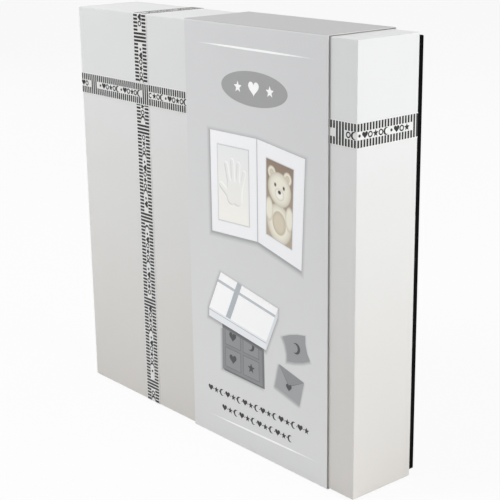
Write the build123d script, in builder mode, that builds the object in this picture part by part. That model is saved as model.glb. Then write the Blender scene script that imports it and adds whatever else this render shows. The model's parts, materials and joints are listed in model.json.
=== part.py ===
from build123d import *
import os
from math import cos, radians, sin

# A closed keepsake gift box that stands upright, with a folding double frame for a baby's
# hand print inside. All sizes are millimetres. X runs to the right and Y away from the viewer,
# Z is up. The origin is on the floor, under the middle of the whole object.
# Depths are counted from the lid's front face towards the back.

os.makedirs("parts", exist_ok=True)

# Lid and tray of the box
LID_SIZE = 280.0  # width and height
LID_DEPTH = 50.0  # front face to rim
BASE_PROUD = 6.5  # how far the tray stands out behind the lid's rim
BASE_START = 2.5  # depth of the tray's rim inside the lid
LID_GAP = 0.5  # play between lid and tray, on each side
BOARD = 1.5  # grey board
PAPER = 0.2  # wrapping and lining paper
WALL = BOARD + 2 * PAPER
EDGE_RADIUS = 0.6  # paper-covered corners between two walls
FACE_RADIUS = 0.5  # paper-covered edges of the closed face
BOARD_BEVEL = 0.3  # crushed edges of the board under the paper

# Ribbons glued round the lid
RIBBON = 0.3
RIBBON_WIDTH = 15.0
RIBBON_X = -65.8  # centre of the upright ribbon
RIBBON_HEIGHT = 226.1  # centre of the ribbon across, above the lid's lower edge
RIBBON_RAMP = 2.5  # how gently it climbs over the other ribbon

# Printed card sleeve, hooked behind the lid's rim by two folded hems
CARD = 0.45
SLEEVE_LEFT = -15.2
SLEEVE_RIGHT = 118.0
SLEEVE_LIFT = 0.4  # clear of the lid's top and bottom
SLEEVE_STAND = 0.7  # clear of the lid's front, where the ribbons cross
HEM_START = 50.35
HEM_END = 53.9
HEM_FOLD = 0.45  # gap inside the folded hem
FOLD_RADIUS = 1.0

# Compartments of the tray
STRIP = 1.5  # thickness of the divider strips
STRIP_FRONT = 35.0  # depth of their front edges
CELL_ROWS = 4

# The double frame: two halves of rails and stiles, folded shut like a book
FRAME_WIDTH = 160.0
FRAME_HEIGHT = 220.0
FRAME_LEFT = -45.0
RAIL_WIDTH = 30.0
REBATE = 6.0  # how far the rails reach over what they hold
FRAME_BEVEL = 1.0  # softened outer edges
SIGHT_BEVEL = 2.0  # bevel round the window
LEAF_BACK = 5.0  # depth of the photo half's back
LEAF_THICK = 12.0
LEAF_SHORT = 0.5  # the photo half clears the tray's wall by this
PARTING = 0.8  # gap between the two halves
PRINT_THICK = 14.0
BACKING = 2.5
GLAZING = 1.5
MAT = 1.5
PICTURE = 0.3
MAT_WINDOW = (70.0, 110.0)
CLAY = 8.0
CLAY_CARD = 0.5

# Hand pressed into the clay, seen from the front, from the middle of its palm.
# Fingers are (root x, root z, length, lean to the right in degrees, radius), little finger first.
# Pads of the palm are (x, z, radius of the dent).
HAND_DEEP = 2.2
FINGERS = (
    (-17.0, 12.0, 27.0, -22.0, 4.8),
    (-7.5, 17.0, 33.0, -8.0, 5.1),
    (3.5, 18.0, 35.0, 3.0, 5.2),
    (14.0, 14.5, 32.0, 15.0, 5.0),
    (15.0, -8.0, 29.0, 55.0, 5.8),
)
PALM_PADS = ((-11.0, 8.0, 12.5), (0.0, 10.0, 13.0), (10.5, 7.5, 12.5), (-10.0, -9.0, 13.5),
             (10.0, -8.5, 14.0), (0.0, -1.0, 15.0))
HAND_LIFT = -8.0  # the palm's centre, against the middle of the window

# Hinge between the halves
AXIS_OUT = 2.3  # how far the axis stands outside the frame's edge
KNUCKLE_RADIUS = 2.0
PIN_RADIUS = 1.0
PIN_BORE = 1.05
PIN_HEAD = 0.6
PIN_HEAD_RADIUS = 1.7
KNUCKLE_GAP = 0.1
KNUCKLES = 3
PLATE_WIDTH = 15.0
PLATE_HEIGHT = 40.0
PLATE = 1.0
PLATE_PROUD = 0.35  # what of the plate stands out of its mortise
HINGE_HEIGHTS = (55.0, 165.0)  # above the frame's foot
SCREW_RADIUS = 1.0
SCREW_HEAD = SCREW_RADIUS + PLATE  # the countersink goes right through the plate
SCREW_LONG = 7.0
SCREW_FLATS = 16  # the small screws are drawn with flats, without their thread and slot

# Turn buttons that hold the backing boards
BUTTON_LONG = 26.0
BUTTON_WIDE = 9.0
BUTTON = 1.0
BUTTON_GAP = 0.1
BUTTON_TAIL = 6.5  # from the pivot to the short end
BUTTON_OUT = 3.0  # the pivot is this far outside the middle of the rail's back
RIVET_RADIUS = 1.5
RIVET_BORE = 1.55
RIVET_HEAD = 3.2
RIVET_TOP = 0.6
RIVET_DEEP = 5.0

# Small pieces kept in the tray
PIN_LONG = 200.0  # rolling pin
PIN_THICK = 22.0
PIN_BEVEL = 1.2
PIN_X = -92.0
PIN_DEPTH = 23.9
ENVELOPE = (112.0, 56.0)
ENVELOPE_SHEET = 0.4
ENVELOPE_POINT = 6.0  # how far the flap's tip reaches below the middle
ENVELOPE_ROUND = 4.0
PILLOW = (92.0, 50.0, 13.0)
PILLOW_HOLLOW = 8.0  # how far its two ends curve in
THUMB_HOLE = 4.0  # radius, in one end

# Places worked out from these
SLEEVE_OUT = SLEEVE_STAND + CARD
LID_LOW = SLEEVE_LIFT + CARD
LID_MIDDLE = LID_LOW + LID_SIZE / 2
BASE_END = LID_DEPTH + BASE_PROUD
LID_FRONT = SLEEVE_OUT - (SLEEVE_OUT + BASE_END) / 2
BASE_SIZE = LID_SIZE - 2 * (WALL + LID_GAP)
BASE_INSIDE = BASE_SIZE - 2 * WALL
BASE_FLOOR = BASE_END - WALL
INSIDE_LOW = LID_MIDDLE - BASE_INSIDE / 2
LEAF_FACE = LEAF_BACK + LEAF_THICK
PRINT_FACE = LEAF_FACE + PARTING
PRINT_BACK = PRINT_FACE + PRINT_THICK
AXIS_X = FRAME_LEFT - AXIS_OUT
AXIS_DEPTH = LEAF_FACE + PARTING / 2
FRAME_X = FRAME_LEFT + FRAME_WIDTH / 2
FRAME_MIDDLE = INSIDE_LOW + FRAME_HEIGHT / 2
WINDOW = (FRAME_WIDTH - 2 * RAIL_WIDTH, FRAME_HEIGHT - 2 * RAIL_WIDTH)
HELD = (WINDOW[0] + 2 * REBATE, WINDOW[1] + 2 * REBATE)
BUTTON_X = (RAIL_WIDTH - REBATE) / 2 - BUTTON_OUT


def at(depth, x=0.0, z=LID_MIDDLE):
    """An upright plane at a depth, facing the viewer, with its middle at x and z."""
    return Plane(origin=(x, LID_FRONT + depth, z), x_dir=(1, 0, 0), z_dir=(0, -1, 0))


def finish(piece, name):
    """Labels a finished piece and writes it."""
    piece.part.label = name
    export_step(piece.part, f"parts/{name}.step")


def slab(near, far, width, height, x=0.0, z=LID_MIDDLE, radius=0.0):
    """An upright slab between two depths, with its four long edges rounded."""
    with BuildPart() as piece:
        with BuildSketch(at(near, x, z)):
            if radius:
                RectangleRounded(width, height, radius)
            else:
                Rectangle(width, height)
        extrude(amount=near - far)
    return piece


def box_form(size, closed, opened, corner=0.0, face=0.0, bevel=0.0):
    """The solid outline of a lid or tray, rounded like its paper or bevelled like its boards."""
    near, far = min(closed, opened), max(closed, opened)
    with BuildPart() as form:
        add(slab(near, far, size, size, radius=corner).part)
        ends = form.faces().sort_by(Axis.Y)
        end = ends[0] if closed < opened else ends[-1]
        if face:
            fillet(end.edges(), face)
        if bevel:
            chamfer(end.edges() + form.edges().filter_by(Axis.Y), bevel)
    return form


def make_box(name, closed_name, size, closed, opened):
    """The boards, wrapping paper and lining of a rigid paper box, as seven pieces."""
    step = 1.0 if opened > closed else -1.0
    rim = opened - step * PAPER
    inner = size - 2 * (PAPER + BOARD)
    outside = box_form(size, closed, opened, EDGE_RADIUS, FACE_RADIUS)
    board_out = box_form(size - 2 * PAPER, closed + step * PAPER, rim, bevel=BOARD_BEVEL)
    board_in = box_form(inner, closed + step * (PAPER + BOARD), rim)
    hollow = box_form(size - 2 * WALL, closed + step * WALL, opened)

    with BuildPart() as wrap:
        add(outside.part)
        add(board_out.part, mode=Mode.SUBTRACT)
        add(hollow.part, mode=Mode.SUBTRACT)
    finish(wrap, f"{name}_wrap")

    with BuildPart() as lining:
        add(board_in.part)
        add(hollow.part, mode=Mode.SUBTRACT)
    finish(lining, f"{name}_lining")

    with BuildPart() as boards:
        add(board_out.part)
        add(board_in.part, mode=Mode.SUBTRACT)
    panel_end = closed + step * (PAPER + BOARD)
    near, far = min(panel_end, rim), max(panel_end, rim)
    side = (size - inner) / 2
    reach = (size - side) / 2
    regions = {
        closed_name: (min(closed, panel_end), max(closed, panel_end), size, size, 0.0, 0.0),
        "top_wall": (near, far, size, side, 0.0, reach),
        "bottom_wall": (near, far, size, side, 0.0, -reach),
        "left_wall": (near, far, side, inner, -reach, 0.0),
        "right_wall": (near, far, side, inner, reach, 0.0),
    }
    for part_name, (front, back, width, height, x, z) in regions.items():
        with BuildPart() as panel:
            add(boards.part)
            add(slab(front, back, width, height, x, LID_MIDDLE + z).part, mode=Mode.INTERSECT)
        finish(panel, f"{name}_{part_name}")


make_box("lid", "front_panel", LID_SIZE, 0.0, LID_DEPTH)
make_box("base", "back_panel", BASE_SIZE, BASE_END, BASE_START)


# Ribbons: a skin round the lid's front and two sides, cut to the ribbon's width
def ribbon_skin():
    """A skin of the ribbon's thickness round the whole lid."""
    with BuildPart() as skin:
        add(box_form(LID_SIZE + 2 * RIBBON, -RIBBON, LID_DEPTH, EDGE_RADIUS + RIBBON,
                     FACE_RADIUS + RIBBON).part)
        add(box_form(LID_SIZE, 0.0, LID_DEPTH, EDGE_RADIUS, FACE_RADIUS).part,
            mode=Mode.SUBTRACT)
    return skin


ribbon_z = LID_LOW + RIBBON_HEIGHT
with BuildPart() as ribbon_upright:
    add(ribbon_skin().part)
    add(slab(-1, LID_DEPTH, RIBBON_WIDTH, LID_SIZE + 2, x=RIBBON_X).part, mode=Mode.INTERSECT)
finish(ribbon_upright, "ribbon_upright")

with BuildPart() as ribbon_across:
    add(ribbon_skin().part)
    add(slab(-1, LID_DEPTH, LID_SIZE + 2, RIBBON_WIDTH, z=ribbon_z).part, mode=Mode.INTERSECT)
    with BuildSketch(Plane.XY.offset(ribbon_z - RIBBON_WIDTH / 2)):
        with BuildLine():
            half = RIBBON_WIDTH / 2
            Polyline(
                (RIBBON_X - half - RIBBON_RAMP, LID_FRONT - RIBBON),
                (RIBBON_X - half, LID_FRONT - 2 * RIBBON),
                (RIBBON_X + half, LID_FRONT - 2 * RIBBON),
                (RIBBON_X + half + RIBBON_RAMP, LID_FRONT - RIBBON),
                close=True,
            )
        make_face()
    extrude(amount=RIBBON_WIDTH)
    add(ribbon_upright.part, mode=Mode.SUBTRACT)
finish(ribbon_across, "ribbon_across")

# Sleeve: one sheet folded round front, top and bottom, with a hem behind the lid's rim
front = LID_FRONT - SLEEVE_OUT
hem_end = LID_FRONT + HEM_END
hem_start = LID_FRONT + HEM_START
reach_z = LID_MIDDLE - CARD / 2
hem_z = reach_z - CARD - HEM_FOLD
with BuildPart() as sleeve:
    with BuildSketch(Plane(origin=(SLEEVE_LEFT, 0, LID_MIDDLE), x_dir=(0, 1, 0), z_dir=(1, 0, 0))):
        with BuildLine():
            FilletPolyline(
                (hem_start, hem_z),
                (hem_end - CARD / 2, hem_z),
                (hem_end - CARD / 2, reach_z),
                (front + CARD / 2, reach_z),
                (front + CARD / 2, -reach_z),
                (hem_end - CARD / 2, -reach_z),
                (hem_end - CARD / 2, -hem_z),
                (hem_start, -hem_z),
                radius=(
                    CARD, CARD, FOLD_RADIUS - CARD / 2, FOLD_RADIUS - CARD / 2, CARD, CARD
                ),
            )
        trace(line_width=CARD)
    extrude(amount=SLEEVE_RIGHT - SLEEVE_LEFT)
finish(sleeve, "sleeve")

# Compartments: strips that are half-lapped into each other
strip_deep = BASE_FLOOR - STRIP_FRONT
lap = STRIP_FRONT + strip_deep / 2
pitch = (BASE_INSIDE - (CELL_ROWS - 1) * STRIP) / CELL_ROWS + STRIP
strip_heights = [LID_MIDDLE + (row - CELL_ROWS / 2) * pitch for row in range(1, CELL_ROWS)]
with BuildPart() as divider_long:
    add(slab(STRIP_FRONT, BASE_FLOOR, STRIP, BASE_INSIDE).part)
    for height in strip_heights:
        add(slab(STRIP_FRONT, lap, STRIP, STRIP, z=height).part, mode=Mode.SUBTRACT)
finish(divider_long, "divider_long")

with BuildPart() as divider_cross:
    for height in strip_heights:
        add(slab(STRIP_FRONT, BASE_FLOOR, BASE_INSIDE, STRIP, z=height).part)
        add(slab(lap, BASE_FLOOR, STRIP, STRIP, z=height).part, mode=Mode.SUBTRACT)
finish(divider_cross, "divider_cross")


# The two halves of the frame
def frame_blank(face, thick, lip, height, forward):
    """A whole frame before its corners are mitred; forward is +1 where it faces the viewer."""
    back = face + forward * thick
    rebate_from = face + forward * lip
    with BuildPart() as blank:
        add(slab(min(face, back), max(face, back), FRAME_WIDTH, height, FRAME_X, FRAME_MIDDLE).part)
        outer = blank.faces().filter_by(Axis.Y).edges() + blank.edges().filter_by(Axis.Y)
        chamfer(outer, FRAME_BEVEL)
        window = (min(face, back), max(face, back), WINDOW[0], height - 2 * RAIL_WIDTH)
        add(slab(*window, FRAME_X, FRAME_MIDDLE).part, mode=Mode.SUBTRACT)
        front_face = blank.faces().filter_by(Axis.Y).sort_by(Axis.Y)[0 if forward > 0 else -1]
        chamfer(front_face.inner_wires()[0].edges(), SIGHT_BEVEL)
        held = (min(rebate_from, back), max(rebate_from, back), HELD[0],
                height - 2 * RAIL_WIDTH + 2 * REBATE)
        add(slab(*held, FRAME_X, FRAME_MIDDLE).part, mode=Mode.SUBTRACT)
    return blank


def rivet_places():
    """Where the turn buttons pivot on the two stiles, as x and the side the window is on."""
    edge = FRAME_WIDTH / 2 - BUTTON_X
    return ((FRAME_X - edge, 1.0), (FRAME_X + edge, -1.0))


def make_half(name, face, thick, lip, height, forward):
    """Rails and stiles, turn buttons and rivets of one half."""
    back = face + forward * thick
    near, far = min(face, back), max(face, back)
    with BuildPart() as drilled:
        add(frame_blank(face, thick, lip, height, forward).part)
        for x, _ in rivet_places():
            with BuildSketch(at(back, x, FRAME_MIDDLE)):
                Circle(RIVET_RADIUS)
            extrude(amount=forward * RIVET_DEEP, mode=Mode.SUBTRACT)
        for foot in HINGE_HEIGHTS:
            z = FRAME_MIDDLE - FRAME_HEIGHT / 2 + foot
            x = FRAME_LEFT + PLATE_WIDTH / 2
            sunk = face + forward * (PLATE - PLATE_PROUD)
            add(slab(min(face, sunk), max(face, sunk), PLATE_WIDTH, PLATE_HEIGHT, x, z).part,
                mode=Mode.SUBTRACT)
            for screw_z in (z - PLATE_HEIGHT / 4, z + PLATE_HEIGHT / 4):
                with BuildSketch(at(face, x, screw_z)):
                    RegularPolygon(SCREW_RADIUS, SCREW_FLATS, major_radius=False)
                extrude(amount=-forward * (SCREW_LONG - PLATE_PROUD), mode=Mode.SUBTRACT)
    half_w, half_h, rail = FRAME_WIDTH / 2, height / 2, RAIL_WIDTH
    wedges = {
        "rail_top": ((-half_w, half_h), (half_w, half_h), (half_w - rail, half_h - rail),
                     (-half_w + rail, half_h - rail)),
        "rail_bottom": ((-half_w, -half_h), (half_w, -half_h), (half_w - rail, -half_h + rail),
                        (-half_w + rail, -half_h + rail)),
        "stile_left": ((-half_w, -half_h), (-half_w, half_h), (-half_w + rail, half_h - rail),
                       (-half_w + rail, -half_h + rail)),
        "stile_right": ((half_w, -half_h), (half_w, half_h), (half_w - rail, half_h - rail),
                        (half_w - rail, -half_h + rail)),
    }
    for part_name, corners in wedges.items():
        with BuildPart() as rail_piece:
            add(drilled.part)
            with BuildSketch(at(near, FRAME_X, FRAME_MIDDLE)):
                with BuildLine():
                    Polyline(*corners, close=True)
                make_face()
            extrude(amount=near - far, mode=Mode.INTERSECT)
        finish(rail_piece, f"{name}_{part_name}")

    out = back + forward * BUTTON_GAP
    for (x, inward), part_name in zip(rivet_places(), ("button_left", "button_right")):
        with BuildPart() as button:
            middle = x + inward * (BUTTON_LONG / 2 - BUTTON_TAIL)
            with BuildSketch(at(out, middle, FRAME_MIDDLE)):
                SlotOverall(BUTTON_LONG, BUTTON_WIDE)
            extrude(amount=-forward * BUTTON)
            with BuildSketch(at(out, x, FRAME_MIDDLE)):
                Circle(RIVET_BORE)
            extrude(amount=-forward * BUTTON, mode=Mode.SUBTRACT)
        finish(button, f"{name}_{part_name}")

    with BuildPart() as rivets:
        head = out + forward * (BUTTON + BUTTON_GAP / 2)
        for x, _ in rivet_places():
            with BuildSketch(at(head, x, FRAME_MIDDLE)):
                Circle(RIVET_HEAD)
            extrude(amount=-forward * RIVET_TOP)
        for x, _ in rivet_places():
            with BuildSketch(at(head, x, FRAME_MIDDLE)):
                Circle(RIVET_RADIUS)
            extrude(amount=forward * (RIVET_DEEP + abs(head - back)))
    finish(rivets, f"{name}_button_rivets")


print_lip = PRINT_THICK - CLAY - CLAY_CARD - BACKING
photo_lip = LEAF_THICK - GLAZING - MAT - PICTURE - BACKING
leaf_height = FRAME_HEIGHT - 2 * LEAF_SHORT
make_half("print", PRINT_FACE, PRINT_THICK, print_lip, FRAME_HEIGHT, 1.0)
make_half("photo", LEAF_FACE, LEAF_THICK, photo_lip, leaf_height, -1.0)


def held_sheet(name, near, thick, short=0.0):
    """A plain sheet that lies in a half's rebate."""
    sheet = slab(near, near + thick, HELD[0], HELD[1] - short, FRAME_X, FRAME_MIDDLE)
    finish(sheet, name)
    return near + thick


shorter = 2 * LEAF_SHORT
depth = held_sheet("photo_backing_board", LEAF_BACK, BACKING, shorter)
depth = held_sheet("photo_picture", depth, PICTURE, shorter)
with BuildPart() as photo_mat:
    add(slab(depth, depth + MAT, HELD[0], HELD[1] - shorter, FRAME_X, FRAME_MIDDLE).part)
    add(slab(depth, depth + MAT, *MAT_WINDOW, FRAME_X, FRAME_MIDDLE).part, mode=Mode.SUBTRACT)
    cut_edge = photo_mat.faces().filter_by(Axis.Y).sort_by(Axis.Y)[-1].inner_wires()[0]
    chamfer(cut_edge.edges(), MAT * 0.9)
finish(photo_mat, "photo_mat")
held_sheet("photo_glazing", depth + MAT, GLAZING, shorter)

# Clay slab with the hand pressed into it: rounded troughs for the fingers, a bowl for the palm
clay_face = PRINT_FACE + print_lip
with BuildPart() as clay_slab:
    add(slab(clay_face, clay_face + CLAY, *HELD, FRAME_X, FRAME_MIDDLE).part)
    for knuckle_x, knuckle_z, length, lean, radius in FINGERS:
        x = FRAME_X + knuckle_x
        z = FRAME_MIDDLE + HAND_LIFT + knuckle_z
        along = (sin(radians(lean)), 0, cos(radians(lean)))
        centre_depth = clay_face + HAND_DEEP - radius
        start = (x, LID_FRONT + centre_depth, z)
        with BuildSketch(Plane(origin=start, x_dir=(0, 1, 0), z_dir=along)):
            Circle(radius)
        extrude(amount=length - radius, mode=Mode.SUBTRACT)
        end = tuple(start[i] + along[i] * (length - radius) for i in range(3))
        with Locations(start, end):
            Sphere(radius, mode=Mode.SUBTRACT)
    for pad_x, pad_z, dent in PALM_PADS:
        ball = (dent**2 + HAND_DEEP**2) / (2 * HAND_DEEP)
        ball_y = LID_FRONT + clay_face + HAND_DEEP - ball
        with Locations((FRAME_X + pad_x, ball_y, FRAME_MIDDLE + HAND_LIFT + pad_z)):
            Sphere(ball, mode=Mode.SUBTRACT)
finish(clay_slab, "clay_slab")
depth = held_sheet("clay_card", clay_face + CLAY, CLAY_CARD)
held_sheet("print_backing_board", depth, BACKING)


# Hinges: each plate lies in its mortise and carries every other knuckle
def knuckle_spans(middle, which):
    """Lower and upper ends of the knuckles of one plate."""
    one = PLATE_HEIGHT / KNUCKLES
    for number in range(which, KNUCKLES, 2):
        low = middle - PLATE_HEIGHT / 2 + number * one
        yield low + KNUCKLE_GAP / 2, low + one - KNUCKLE_GAP / 2


def make_plates(name, face, forward, which):
    """Both hinges' plates on one half, countersunk for two screws each, and the screws."""
    outer = face - forward * PLATE_PROUD
    near, far = sorted((outer, outer + forward * PLATE))
    x = FRAME_LEFT + PLATE_WIDTH / 2
    middles = [FRAME_MIDDLE - FRAME_HEIGHT / 2 + foot for foot in HINGE_HEIGHTS]
    screw_heights = [m + step for m in middles for step in (-PLATE_HEIGHT / 4, PLATE_HEIGHT / 4)]
    with BuildPart() as plates:
        for middle in middles:
            add(slab(near, far, PLATE_WIDTH, PLATE_HEIGHT, x, middle).part)
            for low, high in knuckle_spans(middle, which):
                neck_x = (AXIS_X + FRAME_LEFT) / 2
                add(slab(near, far, AXIS_OUT, high - low, neck_x, (low + high) / 2).part)
                with BuildSketch(Plane.XY.offset(low)):
                    with Locations((AXIS_X, LID_FRONT + AXIS_DEPTH)):
                        Circle(KNUCKLE_RADIUS)
                extrude(amount=high - low)
        for middle in middles:
            with BuildSketch(Plane.XY.offset(middle - PLATE_HEIGHT / 2)):
                with Locations((AXIS_X, LID_FRONT + AXIS_DEPTH)):
                    Circle(PIN_BORE)
            extrude(amount=PLATE_HEIGHT, mode=Mode.SUBTRACT)
        for z in screw_heights:
            with BuildSketch(at(outer, x, z)):
                RegularPolygon(SCREW_HEAD, SCREW_FLATS, major_radius=False)
            extrude(amount=-forward * PLATE, taper=45, mode=Mode.SUBTRACT)
    finish(plates, f"hinge_plates_{name}")

    with BuildPart() as screws:
        for z in screw_heights:
            with BuildSketch(at(outer, x, z)):
                RegularPolygon(SCREW_HEAD, SCREW_FLATS, major_radius=False)
            extrude(amount=-forward * PLATE, taper=45)
            with BuildSketch(at(outer + forward * PLATE, x, z)):
                RegularPolygon(SCREW_RADIUS, SCREW_FLATS, major_radius=False)
            extrude(amount=-forward * (SCREW_LONG - PLATE))
    finish(screws, f"hinge_screws_{name}")


make_plates("print", PRINT_FACE, 1.0, 0)
make_plates("photo", LEAF_FACE, -1.0, 1)

with BuildPart() as hinge_pins:
    for foot in HINGE_HEIGHTS:
        low = FRAME_MIDDLE - FRAME_HEIGHT / 2 + foot - PLATE_HEIGHT / 2 + KNUCKLE_GAP / 2
        high = low + PLATE_HEIGHT - KNUCKLE_GAP
        for level, radius, length in (
            (low, PIN_RADIUS, high - low),
            (high, PIN_HEAD_RADIUS, PIN_HEAD),
        ):
            with BuildSketch(Plane.XY.offset(level)):
                with Locations((AXIS_X, LID_FRONT + AXIS_DEPTH)):
                    Circle(radius)
            extrude(amount=length)
finish(hinge_pins, "hinge_pins")

# Rolling pin: a turned roller with rounded ends, standing beside the frame
with BuildPart() as rolling_pin:
    with BuildSketch(Plane(origin=(PIN_X, LID_FRONT + PIN_DEPTH, INSIDE_LOW), x_dir=(1, 0, 0),
                           z_dir=(0, -1, 0))):
        with BuildLine():
            Polyline((0, 0), (PIN_THICK / 2, 0), (PIN_THICK / 2, PIN_LONG), (0, PIN_LONG), close=True)
        make_face()
    revolve(axis=Axis((PIN_X, LID_FRONT + PIN_DEPTH, INSIDE_LOW), (0, 0, 1)))
    chamfer(rolling_pin.edges().filter_by(GeomType.CIRCLE), PIN_BEVEL)
finish(rolling_pin, "rolling_pin")


# Keepsake envelope and pillow box, lying on the tray's floor in their compartments
def cell_middle(column, row):
    """The middle of a compartment, as x and z."""
    return (column - 0.5) * (BASE_INSIDE + STRIP) / 2, LID_MIDDLE + (row - 1.5) * pitch


envelope_x, envelope_z = cell_middle(1, 2)
with BuildPart() as keepsake_envelope:
    add(slab(BASE_FLOOR - 3 * ENVELOPE_SHEET, BASE_FLOOR, *ENVELOPE, envelope_x, envelope_z).part)
    with BuildSketch(at(BASE_FLOOR - 3 * ENVELOPE_SHEET, envelope_x, envelope_z)):
        with BuildLine():
            half_x, half_z = ENVELOPE[0] / 2, ENVELOPE[1] / 2
            FilletPolyline((-half_x, half_z), (0, -ENVELOPE_POINT), (half_x, half_z),
                           radius=ENVELOPE_ROUND)
            Line((half_x, half_z), (-half_x, half_z))
        make_face()
    extrude(amount=ENVELOPE_SHEET)
finish(keepsake_envelope, "keepsake_envelope")


def pillow_form(inset):
    """A lens-shaped box with curved-in ends, drawn in on every side by inset."""
    long, wide, thick = (size - 2 * inset for size in PILLOW)
    middle_y = LID_FRONT + BASE_FLOOR - PILLOW[2] / 2
    edge = wide / 2
    with BuildPart() as form:
        with BuildSketch(Plane(origin=(pillow_x - long / 2, middle_y, pillow_z), x_dir=(0, 0, 1),
                               z_dir=(1, 0, 0))):
            with BuildLine():
                ThreePointArc((-edge, 0), (0, thick / 2), (edge, 0))
                ThreePointArc((edge, 0), (0, -thick / 2), (-edge, 0))
            make_face()
        extrude(amount=long)
        for outward in (-1, 1):
            end = pillow_x + outward * long / 2
            with BuildSketch(Plane.XY.offset(pillow_z)):
                with BuildLine():
                    near_y, far_y = middle_y - thick / 2, middle_y + thick / 2
                    ThreePointArc((end, near_y), (end - outward * PILLOW_HOLLOW, middle_y), (end, far_y))
                    Line((end, far_y), (end, near_y))
                make_face()
            extrude(amount=edge, both=True, mode=Mode.SUBTRACT)
    return form


pillow_x, pillow_z = cell_middle(1, 1)
with BuildPart() as keepsake_pillow_box:
    add(pillow_form(0.0).part)
    add(pillow_form(CARD).part, mode=Mode.SUBTRACT)
    hole_y = LID_FRONT + BASE_FLOOR - PILLOW[2] / 2
    with BuildSketch(Plane(origin=(pillow_x, hole_y, pillow_z), x_dir=(0, 0, 1), z_dir=(1, 0, 0))):
        Circle(THUMB_HOLE)
    extrude(amount=PILLOW[0] / 2, mode=Mode.SUBTRACT)
finish(keepsake_pillow_box, "keepsake_pillow_box")
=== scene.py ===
import json
from math import cos, exp, hypot, log, pi, radians, sin, sqrt, tan

import bmesh
import bpy
from mathutils import Euler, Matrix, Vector
from mathutils.geometry import tessellate_polygon

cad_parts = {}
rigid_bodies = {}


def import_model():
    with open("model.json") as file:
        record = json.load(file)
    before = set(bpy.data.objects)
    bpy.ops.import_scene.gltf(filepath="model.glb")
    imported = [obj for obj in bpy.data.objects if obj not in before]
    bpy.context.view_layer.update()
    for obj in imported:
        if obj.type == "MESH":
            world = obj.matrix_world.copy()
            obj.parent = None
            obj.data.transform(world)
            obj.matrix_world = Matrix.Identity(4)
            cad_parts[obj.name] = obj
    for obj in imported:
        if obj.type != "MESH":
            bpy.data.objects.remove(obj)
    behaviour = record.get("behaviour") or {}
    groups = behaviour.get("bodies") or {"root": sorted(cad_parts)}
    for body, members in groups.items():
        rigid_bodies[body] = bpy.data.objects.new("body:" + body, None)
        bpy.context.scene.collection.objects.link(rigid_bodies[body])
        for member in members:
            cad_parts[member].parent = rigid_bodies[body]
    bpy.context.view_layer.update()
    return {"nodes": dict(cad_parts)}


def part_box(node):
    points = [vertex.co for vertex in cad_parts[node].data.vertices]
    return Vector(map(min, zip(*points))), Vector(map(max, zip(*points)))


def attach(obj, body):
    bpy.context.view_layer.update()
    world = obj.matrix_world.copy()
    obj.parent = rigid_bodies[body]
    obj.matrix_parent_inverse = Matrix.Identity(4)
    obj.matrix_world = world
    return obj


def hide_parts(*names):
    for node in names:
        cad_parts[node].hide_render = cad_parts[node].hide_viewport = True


# A keepsake gift box: white wrapped lid, black tray, woven ribbons and a printed card sleeve,
# with a folding double frame, a hand pressed in clay and small keepsake holders inside.
# Lengths in the tables below are millimetres, in the same frame as the solids.

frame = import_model()

MM = 0.001
PAPER_IOR = 1.48
DEFAULT_IOR = 1.5  # of thread and lacquer, and what a metal keeps


def linear(code):
    """An sRGB hex colour as linear red, green, blue and alpha."""
    channels = [int(code[i:i + 2], 16) / 255 for i in (1, 3, 5)]
    return (*(c / 12.92 if c <= 0.04045 else ((c + 0.055) / 1.055) ** 2.4 for c in channels), 1.0)


def blend(first, second, share):
    """What lies part of the way from one tone or point to another."""
    return tuple(a + (b - a) * share for a, b in zip(first, second))


def held(value):
    """The value, kept between 0 and 1."""
    return min(1.0, max(0.0, value))


def eased(share):
    """The share from 0 to 1, leaving and arriving gently."""
    return share * share * (3 - 2 * share)


def add_node(tree, kind, inputs=None, **settings):
    """Adds one node, a shader node unless its kind says otherwise. Its inputs are given by name
    or number, as a value, a socket, or a node whose first output in use is linked."""
    made = tree.nodes.new(kind if "Node" in kind else "ShaderNode" + kind)
    for name, value in settings.items():
        setattr(made, name, value)
    for name, value in (inputs or {}).items():
        if isinstance(value, bpy.types.Node):
            value = next(output for output in value.outputs if output.enabled)
        if isinstance(value, bpy.types.NodeSocket):
            tree.links.new(value, made.inputs[name])
        else:
            made.inputs[name].default_value = value
    return made


def start_material(name):
    """A new material with an empty node tree, and the place on the object that it is painted by."""
    made = bpy.data.materials.new(name)
    made.use_nodes = True
    tree = made.node_tree
    tree.nodes.clear()
    return made, tree, add_node(tree, "TexCoord").outputs["Object"]


def close_material(tree, colour, rough, relief, ior=PAPER_IOR, more=None):
    """Gives the material its surface: a colour, a roughness, a relief and what else it needs."""
    surface = add_node(tree, "BsdfPrincipled",
                       {"Base Color": colour, "Roughness": rough, "IOR": ior, "Normal": relief,
                        **(more or {})})
    add_node(tree, "OutputMaterial", {"Surface": surface})


def facing(tree, axis, least, both_ways=True):
    """1 where the surface faces along an axis, and 0 elsewhere."""
    normal = add_node(tree, "NewGeometry").outputs["Normal"]
    along = add_node(tree, "SeparateXYZ", {0: normal}).outputs[axis]
    if both_ways:
        along = add_node(tree, "Math", {0: along}, operation="ABSOLUTE")
    return add_node(tree, "Math", {0: along, 1: least}, operation="GREATER_THAN")


def shaded(tree, colour, pattern, low, high, start=0.0, end=1.0):
    """A colour made darker and lighter by a pattern: low where it is at its start, and high at
    its end."""
    shade = add_node(tree, "MapRange", {"Value": pattern, "From Min": start, "From Max": end,
                                        "To Min": low, "To Max": high}, clamp=False)
    return add_node(tree, "Mix", {0: 1.0, 6: colour, 7: shade},
                    data_type="RGBA", blend_type="MULTIPLY")


# Papers and boards

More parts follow.
